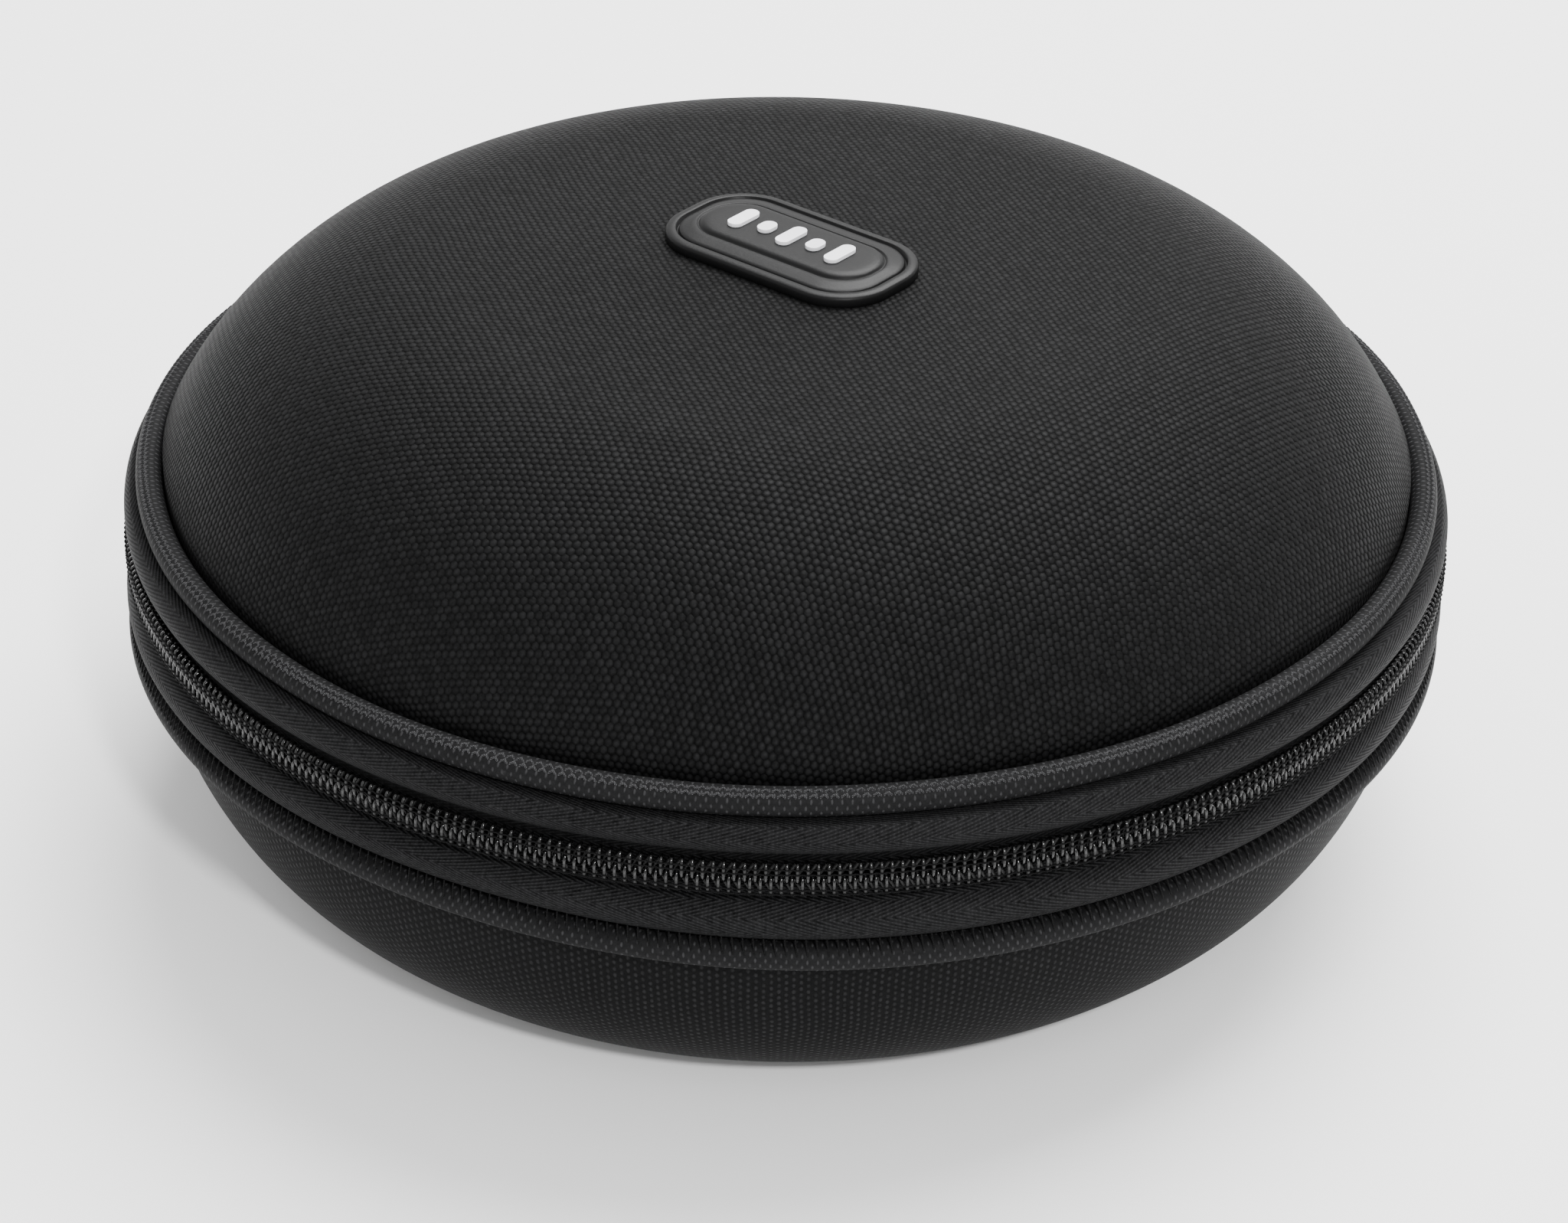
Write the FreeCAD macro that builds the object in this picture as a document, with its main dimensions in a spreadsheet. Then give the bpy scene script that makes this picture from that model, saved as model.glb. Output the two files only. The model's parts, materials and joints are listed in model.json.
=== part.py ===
import FreeCAD, Part
import os
import Sketcher

V = FreeCAD.Vector
doc = FreeCAD.newDocument("headphone_case")
os.makedirs("parts", exist_ok=True)

# Round zipped case. Z is up, the flat bottom lies on z = 0, the front is -Y and the fabric hinge is at +Y.
# "rise" is a height measured away from the zip plane: upwards in the lid, downwards in the base.
SIZES = {
    "zip_height": 53, "hinge_axis_offset": 111.5,
    # walls, from the outside in
    "cover_wall": 0.9, "foam_wall": 4.0, "lining_wall": 0.7,
    # lid: low dome with a soft shoulder
    "lid_rim_radius": 103, "lid_rim_rise": 9.6, "lid_shoulder_rise": 14.6, "lid_dome_depth": 31.5,
    "lid_shoulder_radius": 56, "lid_shoulder_lean": 62.5,
    # base: bowl with a flat bottom
    "base_rim_radius": 105.9, "base_rim_rise": 12.35, "base_side_rise": 15.7,
    "base_side_radius": 42, "base_corner_radius": 18,
    # fabric-covered piping round both rims
    "piping_radius": 2.2, "piping_wall": 0.5, "piping_play": 0.05, "piping_flange": 0.4,
    "lid_piping_ring": 105.4, "lid_piping_rise": 11.35, "lid_seam_inner": 98.1,
    "base_piping_ring": 108.2, "base_piping_rise": 14.1, "base_seam_inner": 101.1,
    # zip tape: flat behind the coil, bulging between the coil and the piping, then turned into the seam
    "tape_inner": 106.9, "tape_wall": 0.7, "tape_start": 0.6,
    "lid_bulge_ring": 106.5, "lid_bulge_rise": 6.7, "lid_bulge_radius": 3.3, "lid_bulge_end": 50,
    "lid_knee_ring": 105.8, "lid_seam_rise": 8.35,
    "base_bulge_ring": 106.4, "base_bulge_rise": 7.7, "base_bulge_radius": 3.9, "base_bulge_end": 45,
    "base_knee_ring": 106.3, "base_seam_rise": 11.15,
    # coil: each half of the zip chain
    "coil_inner": 107.6, "coil_shoulder": 109.05, "coil_start": 0.6, "coil_end": 3.05, "coil_round": 1.25,
    # binding over the raw edges inside the rims
    "binding_wall": 0.65, "lid_binding_inner": 96.65, "lid_binding_outer": 102.1, "lid_binding_top": 11.75,
    "base_binding_inner": 99.6, "base_binding_outer": 104.8, "base_binding_top": 16.7,
    # fabric hinge and the ends of the zip, as half angles from the back
    "hinge_half": 23, "tape_half": 156.5, "coil_half": 152.5, "stop_span": 1.7, "stop_centre": 26.6,
    "hinge_start": 0.4, "hinge_wall": 0.8, "lid_hinge_ring": 106.7, "base_hinge_ring": 108.2,
    "hinge_lining_wall": 0.6, "lid_hinge_lining": 101.9, "base_hinge_lining": 102.4,
    # rubber badge on the crown of the lid
    "badge_length": 43.4, "badge_width": 24.4, "badge_corner": 9.8, "badge_rise": 1.8, "badge_root": 2.2,
    "groove_length": 39.4, "groove_width": 20.2, "groove_corner": 7.8, "groove_deep": 0.8, "groove_wide": 1,
    "pill_length": 30.6, "pill_width": 10.4, "pill_corner": 5, "pill_rise": 0.9,
    "bar_width": 2.6, "bar_pitch": 5, "bar_long": 6.6, "bar_short": 3.6, "bar_rise": 0.6,
    # sliders, and the angle of each one's centre from +X
    "slider_span": 5.7, "slider_reach": 4.4, "plate_outer": 112.0, "plate_inner": 110.7,
    "back_outer": 106.5, "back_inner": 104.9, "lip_inner": 110.1, "lip_wide": 0.9,
    "web_span": 2.2, "web_half": 0.3, "front_slider_turn": 173.3, "rear_slider_turn": 166.7,
    "crown_half": 3.2, "crown_top": 115.2, "crown_hole_half": 2.0, "crown_hole_top": 114.0, "crown_wide": 2.0,
    # pull tabs hung on the sliders
    "pull_axis": 113.0, "pull_offset": 0.9, "pull_bar": 0.55, "pull_arm_out": 3.1, "pull_arm_in": 1.5,
    "pull_window": 6.0, "pull_neck": 9.6, "pull_wall": 1.1, "pull_lean": 3,
    "grip_start": 9.6, "grip_end": 34, "grip_wide": 9, "grip_thick": 2.8, "grip_round": 1.1,
}
# Values worked out from the sizes: arc centres and where tangent arcs meet.
WORKED_OUT = {
    "skin_wall": "cover_wall + foam_wall + lining_wall",
    "lid_shoulder_r": "lid_rim_radius - lid_shoulder_radius * sin(lid_shoulder_lean)",
    "lid_shoulder_z": "zip_height + lid_shoulder_rise - lid_shoulder_radius * cos(lid_shoulder_lean)",
    "lid_apex": "zip_height + lid_shoulder_rise + lid_dome_depth",
    "lid_sink": "lid_apex - lid_shoulder_z",
    "lid_crown_radius": "(lid_shoulder_r^2 + lid_sink^2 - lid_shoulder_radius^2)"
                        " / (2 * (lid_sink - lid_shoulder_radius))",
    "lid_crown_z": "lid_apex - lid_crown_radius",
    "lid_meet_sin": "lid_shoulder_r / (lid_crown_radius - lid_shoulder_radius)",
    "lid_meet_cos": "(lid_shoulder_z - lid_crown_z) / (lid_crown_radius - lid_shoulder_radius)",
    "base_side_r": "base_rim_radius - base_side_radius",
    "base_side_z": "zip_height - base_side_rise",
    "base_meet_sin": "(base_side_z - base_corner_radius) / (base_side_radius - base_corner_radius)",
    "base_meet_cos": "sqrt(1 - base_meet_sin^2)",
    "base_corner_r": "base_side_r + (base_side_radius - base_corner_radius) * base_meet_cos",
    "badge_top": "lid_apex + badge_rise",
    "pill_top": "badge_top + pill_rise",
}

sheet = doc.addObject("Spreadsheet::Sheet", "dims")
for row, (alias, value) in enumerate(list(SIZES.items()) + list(WORKED_OUT.items()), 1):
    text = "=" + value if isinstance(value, str) else str(value)
    sheet.set("A%d" % row, alias)
    sheet.set("B%d" % row, text)
    sheet.setAlias("B%d" % row, alias)
doc.recompute()

NAMES = sorted(list(SIZES) + list(WORKED_OUT), key=len, reverse=True)
nodes = []


def bound(text):
    """Turn sheet names in a formula into references to the sheet."""
    words, word = [], ""
    for char in str(text) + " ":
        if char.isalnum() or char == "_":
            word += char
            continue
        words.append("dims." + word if word in NAMES else word)
        words.append(char)
        word = ""
    return "".join(words).strip()


def value(text):
    result = sheet.evalExpression(bound(text))
    return float(getattr(result, "Value", result))


def bind(obj, prop, text):
    obj.setExpression(prop, bound(text))


def body(label, turn="0"):
    """A new body turned about the vertical axis, so a sector starts from the side it belongs to."""
    part = doc.addObject("PartDesign::Body", label)
    part.Label = label
    part.Placement = FreeCAD.Placement(V(0, 0, 0), FreeCAD.Rotation(V(0, 0, 1), value(turn)))
    bind(part, "Placement.Rotation.Angle", turn)
    nodes.append(part)
    return part


def plane(part, role):
    return next(f for f in part.Origin.OriginFeatures if f.Role == role)


def new_sketch(part, role, lift="0"):
    sketch = part.newObject("Sketcher::SketchObject", "sketch")
    sketch.AttachmentSupport = [(plane(part, role), "")]
    sketch.MapMode = "FlatFace"
    bind(sketch, "AttachmentOffset.Base.z", lift)
    doc.recompute()
    return sketch


def arc_middle(start, end, radius, side):
    """Middle point of an arc: side 1 has its centre left of start-end, -1 right of it, 2 is the long way."""
    chord = end - start
    left = V(-chord.y, chord.x, 0).normalize()
    hand = 1 if side > 0 else -1
    reach = max(radius ** 2 - (chord.Length / 2) ** 2, 0) ** 0.5
    centre = (start + end) * 0.5 + left * (hand * reach)
    return centre + left * (radius * hand * (1 if abs(side) == 2 else -1))


def outline(sketch, points, arcs=()):
    """Closed outline through points given as formulas; arcs maps an edge number to (radius, side)."""
    arcs = dict(arcs)
    corners = [V(value(x), value(y), 0) for x, y in points]
    ends = []
    for i, start in enumerate(corners):
        end = corners[(i + 1) % len(corners)]
        if i in arcs:
            radius, side = arcs[i]
            edge = Part.Arc(start, arc_middle(start, end, value(radius), side), end)
        else:
            edge = Part.LineSegment(start, end)
        geo = sketch.addGeometry(edge, False)
        flipped = (sketch.getPoint(geo, 1) - start).Length > (sketch.getPoint(geo, 2) - start).Length
        ends.append((geo, 2, 1) if flipped else (geo, 1, 2))
    for i, (geo, first, last) in enumerate(ends):
        following = ends[(i + 1) % len(ends)]
        sketch.addConstraint(Sketcher.Constraint("Coincident", geo, last, following[0], following[1]))
        (across, rise), corner = points[i], corners[i]
        for kind, text, size in (("DistanceX", across, corner.x), ("DistanceY", rise, corner.y)):
            if kind == "DistanceX" and text == "0":
                sketch.addConstraint(Sketcher.Constraint("PointOnObject", geo, first, -2))
            else:
                number = sketch.addConstraint(Sketcher.Constraint(kind, geo, first, size))
                bind(sketch, "Constraints[%d]" % number, text)
        if i in arcs:
            number = sketch.addConstraint(Sketcher.Constraint("Radius", geo, value(arcs[i][0])))
            bind(sketch, "Constraints[%d]" % number, arcs[i][0])


def revolve(part, sketch, span="360"):
    turned = part.newObject("PartDesign::Revolution", "revolution")
    turned.Profile = sketch
    turned.ReferenceAxis = (sketch, ["V_Axis"])
    turned.Midplane = True
    bind(turned, "Angle", span)
    sketch.Visibility = False
    doc.recompute()
    return turned


def pad(part, sketch, length, centred=False):
    raised = part.newObject("PartDesign::Pad", "pad")
    raised.Profile = sketch
    raised.Midplane = centred
    bind(raised, "Length", length)
    sketch.Visibility = False
    doc.recompute()
    return raised


def soften(part, base, radius):
    """Round every edge of a body's last feature."""
    rounded_edges = part.newObject("PartDesign::Fillet", "fillet")
    rounded_edges.Base = (base, ["Edge1"])
    rounded_edges.UseAllEdges = True
    bind(rounded_edges, "Radius", radius)
    doc.recompute()


def ring(label, points, arcs=(), span="360", turn="-90"):
    part = body(label, turn)
    sketch = new_sketch(part, "XZ_Plane")
    outline(sketch, points, arcs)
    revolve(part, sketch, span)
    return part


def heights(side):
    """Formula for a height above the floor, given a rise away from the zip plane on this side."""
    sign = "+" if side == "lid" else "-"
    return lambda rise: "zip_height %s (%s)" % (sign, rise)


def arc_side(side, hand):
    return hand if side == "lid" else -hand


def lid_wall(label, near, far):
    """One layer of the domed lid between two depths below the outer surface."""
    def edge(deep):
        knee = ("lid_shoulder_z + sqrt((lid_shoulder_radius - (%s))^2"
                " - (lid_rim_radius - (%s) - lid_shoulder_r)^2)" % (deep, deep))
        return [("lid_rim_radius - (%s)" % deep, "zip_height + lid_rim_rise"),
                ("lid_rim_radius - (%s)" % deep, knee),
                ("(lid_crown_radius - (%s)) * lid_meet_sin" % deep,
                 "lid_crown_z + (lid_crown_radius - (%s)) * lid_meet_cos" % deep),
                ("0", "lid_apex - (%s)" % deep)]
    arcs = {1: ("lid_shoulder_radius - (%s)" % near, 1), 2: ("lid_crown_radius - (%s)" % near, 1),
            4: ("lid_crown_radius - (%s)" % far, -1), 5: ("lid_shoulder_radius - (%s)" % far, -1)}
    return ring(label, edge(near) + edge(far)[::-1], arcs)


def base_wall(label, near, far):
    """One layer of the bowl between two depths below the outer surface."""
    def edge(deep):
        return [("base_rim_radius - (%s)" % deep, "zip_height - base_rim_rise"),
                ("base_rim_radius - (%s)" % deep, "base_side_z"),
                ("base_side_r + (base_side_radius - (%s)) * base_meet_cos" % deep,
                 "base_side_z - (base_side_radius - (%s)) * base_meet_sin" % deep),
                ("base_corner_r", deep),
                ("0", deep)]
    arcs = {1: ("base_side_radius - (%s)" % near, -1), 2: ("base_corner_radius - (%s)" % near, -1),
            6: ("base_corner_radius - (%s)" % far, 1), 7: ("base_side_radius - (%s)" % far, 1)}
    return ring(label, edge(near) + edge(far)[::-1], arcs)


def piping(side):
    """Fabric sleeve with a sewn flange, and the cord inside it."""
    up = heights(side)
    ring_r, rise, inner = "%s_piping_ring" % side, "%s_piping_rise" % side, "%s_seam_inner" % side
    low = "%s - piping_radius" % rise
    top = "%s - piping_radius + piping_flange" % rise
    meet = "%s - sqrt(piping_radius^2 - (piping_radius - piping_flange)^2)" % ring_r
    part = body("%s_piping_cover" % side, "-90")
    sketch = new_sketch(part, "XZ_Plane")
    outline(sketch, [(ring_r, up(low)), (inner, up(low)), (inner, up(top)), (meet, up(top))],
            {3: ("piping_radius", arc_side(side, 2))})
    hole = sketch.addGeometry(Part.Circle(V(value(ring_r), value(up(rise)), 0), V(0, 0, 1), 1), False)
    for kind, place in (("DistanceX", ring_r), ("DistanceY", up(rise))):
        number = sketch.addConstraint(Sketcher.Constraint(kind, hole, 3, value(place)))
        bind(sketch, "Constraints[%d]" % number, place)
    number = sketch.addConstraint(Sketcher.Constraint("Radius", hole, value("piping_radius - piping_wall")))
    bind(sketch, "Constraints[%d]" % number, "piping_radius - piping_wall")
    revolve(part, sketch)
    cord = doc.addObject("Part::Torus", "%s_piping_cord" % side)
    cord.Label = "%s_piping_cord" % side
    bind(cord, "Radius1", ring_r)
    bind(cord, "Radius2", "piping_radius - piping_wall - piping_play")
    bind(cord, "Placement.Base.z", up(rise))
    nodes.append(cord)


def zip_tape(side):
    up = heights(side)
    ring_r, rise, bend = "%s_bulge_ring" % side, "%s_bulge_rise" % side, "%s_bulge_radius" % side
    knee, seam, end = "%s_knee_ring" % side, "%s_seam_rise" % side, "%s_bulge_end" % side
    small = "(%s - tape_wall)" % bend
    turn_in = "%s - sqrt(%s^2 - (tape_inner + tape_wall - %s)^2)" % (rise, bend, ring_r)
    points = [
        ("tape_inner", up("tape_start")), ("tape_inner + tape_wall", up("tape_start")),
        ("tape_inner + tape_wall", up(turn_in)),
        ("%s + %s * cos(%s)" % (ring_r, bend, end), up("%s + %s * sin(%s)" % (rise, bend, end))),
        (knee, up("%s + tape_wall" % seam)), ("%s_seam_inner" % side, up("%s + tape_wall" % seam)),
        ("%s_seam_inner" % side, up(seam)), (knee, up(seam)),
        ("%s + %s * cos(%s)" % (ring_r, small, end), up("%s + %s * sin(%s)" % (rise, small, end))),
        ("tape_inner", up("%s - sqrt(%s^2 - (tape_inner - %s)^2)" % (rise, small, ring_r)))]
    ring("%s_zip_tape" % side, points, {2: (bend, arc_side(side, 1)), 8: (small, arc_side(side, -1))},
         "2 * tape_half")


def zip_coil(side):
    up = heights(side)
    points = [("coil_inner", up("coil_start")), ("coil_shoulder", up("coil_start")),
              ("coil_shoulder", up("coil_end")), ("coil_inner", up("coil_end"))]
    ring("%s_zip_coil" % side, points, {1: ("coil_round", arc_side(side, 1))}, "2 * coil_half")


def zip_stop(side, hand, turn):
    up = heights(side)
    points = [("coil_inner", up("coil_start - 0.2")), ("plate_inner - 0.4", up("coil_start - 0.2")),
              ("plate_inner - 0.4", up("coil_end + 0.2")), ("coil_inner", up("coil_end + 0.2"))]
    ring("%s_zip_stop_%s" % (side, hand), points, (), "stop_span", turn)


def binding(side):
    """L-shaped tape inside the rim: one leg up the lining, one leg under the seam."""
    up = heights(side)
    inner, outer = "%s_binding_inner" % side, "%s_binding_outer" % side
    low, top = "%s_seam_rise - binding_wall" % side, "%s_binding_top" % side
    points = [(inner, up(low)), (outer, up(low)), (outer, up("%s_seam_rise" % side)),
              (inner + " + binding_wall", up("%s_seam_rise" % side)), (inner + " + binding_wall", up(top)),
              (inner, up(top))]
    ring("%s_rim_binding" % side, points)


def hinge_fabric(side):
    """Fabric strip that takes the place of the zip at the back, and the strip that backs it inside."""
    up = heights(side)
    r, seam = "%s_hinge_ring" % side, "%s_seam_rise" % side
    points = [(r, up("hinge_start")), (r + " + hinge_wall", up("hinge_start")),
              (r + " + hinge_wall", up(seam + " + tape_wall")),
              ("%s_seam_inner" % side, up(seam + " + tape_wall")),
              ("%s_seam_inner" % side, up(seam)), (r, up(seam))]
    ring("%s_hinge_panel" % side, points, (), "2 * hinge_half", "90")
    r = "%s_hinge_lining" % side
    top = seam + " - binding_wall"
    points = [(r, up("hinge_start")), (r + " + hinge_lining_wall", up("hinge_start")),
              (r + " + hinge_lining_wall", up(top)), (r, up(top))]
    ring("%s_hinge_lining" % side, points, (), "2 * hinge_half", "90")


def rounded(sketch, length, width, corner, across="0"):
    """Rounded rectangle centred on the origin, or moved sideways by across."""
    x, y, corner = "(%s) / 2" % length, "(%s) / 2" % width, "(%s)" % corner
    shift = lambda text: "%s + (%s)" % (across, text)
    points = [(shift("-%s + %s" % (x, corner)), "-%s" % y), (shift("%s - %s" % (x, corner)), "-%s" % y),
              (shift(x), "-%s + %s" % (y, corner)), (shift(x), "%s - %s" % (y, corner)),
              (shift("%s - %s" % (x, corner)), y), (shift("-%s + %s" % (x, corner)), y),
              (shift("-%s" % x), "%s - %s" % (y, corner)), (shift("-%s" % x), "-%s + %s" % (y, corner))]
    outline(sketch, points, {1: (corner, 1), 3: (corner, 1), 5: (corner, 1), 7: (corner, 1)})


def badge():
    part = body("badge_base")
    sketch = new_sketch(part, "XY_Plane", "lid_apex - badge_root")
    rounded(sketch, "badge_length", "badge_width", "badge_corner")
    pad(part, sketch, "badge_root + badge_rise")
    sketch = new_sketch(part, "XY_Plane", "badge_top")
    rounded(sketch, "groove_length", "groove_width", "groove_corner")
    rounded(sketch, "groove_length - 2 * groove_wide", "groove_width - 2 * groove_wide",
            "groove_corner - groove_wide")
    groove = part.newObject("PartDesign::Pocket", "groove")
    groove.Profile = sketch
    bind(groove, "Length", "groove_deep")
    doc.recompute()
    crown = part.newObject("PartDesign::SubtractiveSphere", "crown")
    crown.AttachmentSupport = [(plane(part, "XY_Plane"), "")]
    crown.MapMode = "FlatFace"
    bind(crown, "Radius", "lid_crown_radius")
    bind(crown, "AttachmentOffset.Base.z", "lid_crown_z")
    doc.recompute()

    part = body("badge_pill")
    sketch = new_sketch(part, "XY_Plane", "badge_top")
    rounded(sketch, "pill_length", "pill_width", "pill_corner")
    pad(part, sketch, "pill_rise")

    part = body("badge_motif")
    sketch = new_sketch(part, "XY_Plane", "pill_top")
    for step in (-2, -1, 0, 1, 2):
        length = "bar_short" if step % 2 else "bar_long"
        rounded(sketch, "bar_width", length, "bar_width / 2 - 0.05", "%d * bar_pitch" % step)
    pad(part, sketch, "bar_rise")


def slider(name, turn):
    """Outer plate, inner plate and the thin web between the two coils, with a crown that holds the pull."""
    up = heights("lid")
    part = body(name + "_slider", turn)
    web = [("back_inner", "-slider_reach"), ("back_outer", "-slider_reach"), ("back_outer", "-web_half"),
           ("plate_inner", "-web_half"), ("plate_inner", "-slider_reach"), ("plate_outer", "-slider_reach"),
           ("plate_outer", "slider_reach"), ("plate_inner", "slider_reach"), ("plate_inner", "web_half"),
           ("back_outer", "web_half"), ("back_outer", "slider_reach"), ("back_inner", "slider_reach")]
    outer = [("lip_inner", "-slider_reach"), ("plate_outer", "-slider_reach"),
             ("plate_outer", "slider_reach"), ("plate_inner", "slider_reach"),
             ("plate_inner", "lip_wide - slider_reach"),
             ("lip_inner", "lip_wide - slider_reach")]
    inner = [("back_inner", "-slider_reach"), ("back_outer", "-slider_reach"),
             ("back_outer", "slider_reach"), ("back_inner", "slider_reach")]
    for points, span in ((web, "web_span"), (outer, "slider_span"), (inner, "slider_span")):
        sketch = new_sketch(part, "XZ_Plane")
        outline(sketch, [(r, up(z)) for r, z in points])
        revolve(part, sketch, span)
    sketch = new_sketch(part, "XY_Plane", "zip_height")
    outline(sketch, [("plate_outer - 0.3", "-crown_half"), ("crown_top - 1.2", "-crown_half"),
                     ("crown_top", "1.2 - crown_half"), ("crown_top", "crown_half - 1.2"),
                     ("crown_top - 1.2", "crown_half"), ("plate_outer - 0.3", "crown_half")],
            {1: ("1.2", 1), 3: ("1.2", 1)})
    outline(sketch, [("plate_outer", "-crown_hole_half"), ("crown_hole_top", "-crown_hole_half"),
                     ("crown_hole_top", "crown_hole_half"), ("plate_outer", "crown_hole_half")])
    pad(part, sketch, "crown_wide", True)


def pull(name, turn, way):
    """Metal link that hinges in the crown, and the rubber grip moulded on its end."""
    def along(text):
        return "%d * (%s)" % (way, text)

    lean = "tan(pull_lean)"
    face_out = lambda s: "pull_axis + pull_wall / 2 - (%s - pull_offset) * %s" % (s, lean)
    face_in = lambda s: "pull_axis - pull_wall / 2 - (%s - pull_offset) * %s" % (s, lean)

    part = body(name + "_pull_link", turn)
    sketch = new_sketch(part, "XY_Plane", "zip_height")
    start, end = "pull_offset", "pull_neck"
    outline(sketch, [(face_in(start), along(start)), (face_out(start), along(start)),
                     (face_out(end), along(end)), (face_in(end), along(end))],
            {0: ("pull_wall / 2 + 0.001", -way)})
    pad(part, sketch, "2 * pull_arm_out", True)
    sketch = new_sketch(part, "XY_Plane", "zip_height")
    start, end = "pull_offset + pull_bar", "pull_window"
    outline(sketch, [("pull_axis - 3", along(start)), ("pull_axis + 3", along(start)),
                     ("pull_axis + 3", along(end)), ("pull_axis - 3", along(end))])
    window = part.newObject("PartDesign::Pocket", "window")
    window.Profile = sketch
    window.Midplane = True
    bind(window, "Length", "2 * pull_arm_in")
    doc.recompute()

    part = body(name + "_pull_grip", turn)
    sketch = new_sketch(part, "XY_Plane", "zip_height")
    start, end = "grip_start", "grip_end"
    extra = "(grip_thick - pull_wall) / 2"
    outline(sketch, [(face_in(start) + " - " + extra, along(start)),
                     (face_out(start) + " + " + extra, along(start)),
                     (face_out(end) + " + " + extra, along(end)), (face_in(end) + " - " + extra, along(end))])
    soften(part, pad(part, sketch, "grip_wide", True), "grip_round")


lid_wall("lid_cover", "0", "cover_wall")
lid_wall("lid_shell", "cover_wall", "cover_wall + foam_wall")
lid_wall("lid_lining", "cover_wall + foam_wall", "skin_wall")
base_wall("base_cover", "0", "cover_wall")
base_wall("base_shell", "cover_wall", "cover_wall + foam_wall")
base_wall("base_lining", "cover_wall + foam_wall", "skin_wall")
for rim in ("lid", "base"):
    piping(rim)
    zip_tape(rim)
    zip_coil(rim)
    zip_stop(rim, "left", "90 + stop_centre")
    zip_stop(rim, "right", "90 - stop_centre")
    binding(rim)
    hinge_fabric(rim)
badge()
slider("front", "front_slider_turn")
slider("rear", "rear_slider_turn")
pull("front", "front_slider_turn", 1)
pull("rear", "rear_slider_turn", -1)

doc.recompute()
for obj in doc.Objects:
    if "Invalid" in obj.State or "Error" in obj.State:
        raise RuntimeError("%s: %s" % (obj.Label, obj.State))
for node in nodes:
    if node.Shape.isNull() or not node.Shape.isValid() or node.Shape.Volume < 1:
        raise RuntimeError("bad shape: %s" % node.Label)
    print("%-24s %10.1f mm3, %d solid(s)" % (node.Label, node.Shape.Volume, len(node.Shape.Solids)))
    node.Shape.exportStep("parts/%s.step" % node.Label)
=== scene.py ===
import json
import math
from contextlib import contextmanager
import bmesh
import bpy
import numpy as np
from mathutils import Matrix, Vector

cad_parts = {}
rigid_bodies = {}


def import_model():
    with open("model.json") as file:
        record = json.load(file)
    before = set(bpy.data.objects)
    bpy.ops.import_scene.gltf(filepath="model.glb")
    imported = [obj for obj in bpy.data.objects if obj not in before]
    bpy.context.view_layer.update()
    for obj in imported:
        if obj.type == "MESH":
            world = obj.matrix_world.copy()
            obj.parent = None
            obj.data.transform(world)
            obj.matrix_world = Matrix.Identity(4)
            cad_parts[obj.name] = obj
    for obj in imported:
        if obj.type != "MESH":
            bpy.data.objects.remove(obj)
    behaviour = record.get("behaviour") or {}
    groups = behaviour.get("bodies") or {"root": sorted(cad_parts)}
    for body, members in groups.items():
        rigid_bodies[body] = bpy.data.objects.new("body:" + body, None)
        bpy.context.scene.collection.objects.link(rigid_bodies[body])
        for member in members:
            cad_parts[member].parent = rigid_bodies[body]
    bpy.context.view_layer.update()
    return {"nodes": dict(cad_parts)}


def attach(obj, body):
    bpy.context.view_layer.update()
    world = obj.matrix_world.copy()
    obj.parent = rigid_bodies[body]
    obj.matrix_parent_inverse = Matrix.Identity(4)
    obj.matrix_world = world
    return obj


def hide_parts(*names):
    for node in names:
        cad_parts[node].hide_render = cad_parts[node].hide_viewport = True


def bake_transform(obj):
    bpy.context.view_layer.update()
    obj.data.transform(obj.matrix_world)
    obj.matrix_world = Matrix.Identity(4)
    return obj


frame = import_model()

# Lengths in this script are millimetres until a mesh is made. Z is up, and heights start at the floor.
MM = 0.001
ZIP = 53.0              # height of the zip plane
HINGE = 23.0            # half angle of the fabric hinge, from the back
RIM = {"lid": 103.0, "base": 105.9}     # outer radius of each wall at its rim
UP = {"lid": 1, "base": -1}             # the way from the zip plane into each half
TAU = 2 * math.pi


# ---------------------------------------------------------------- materials

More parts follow.
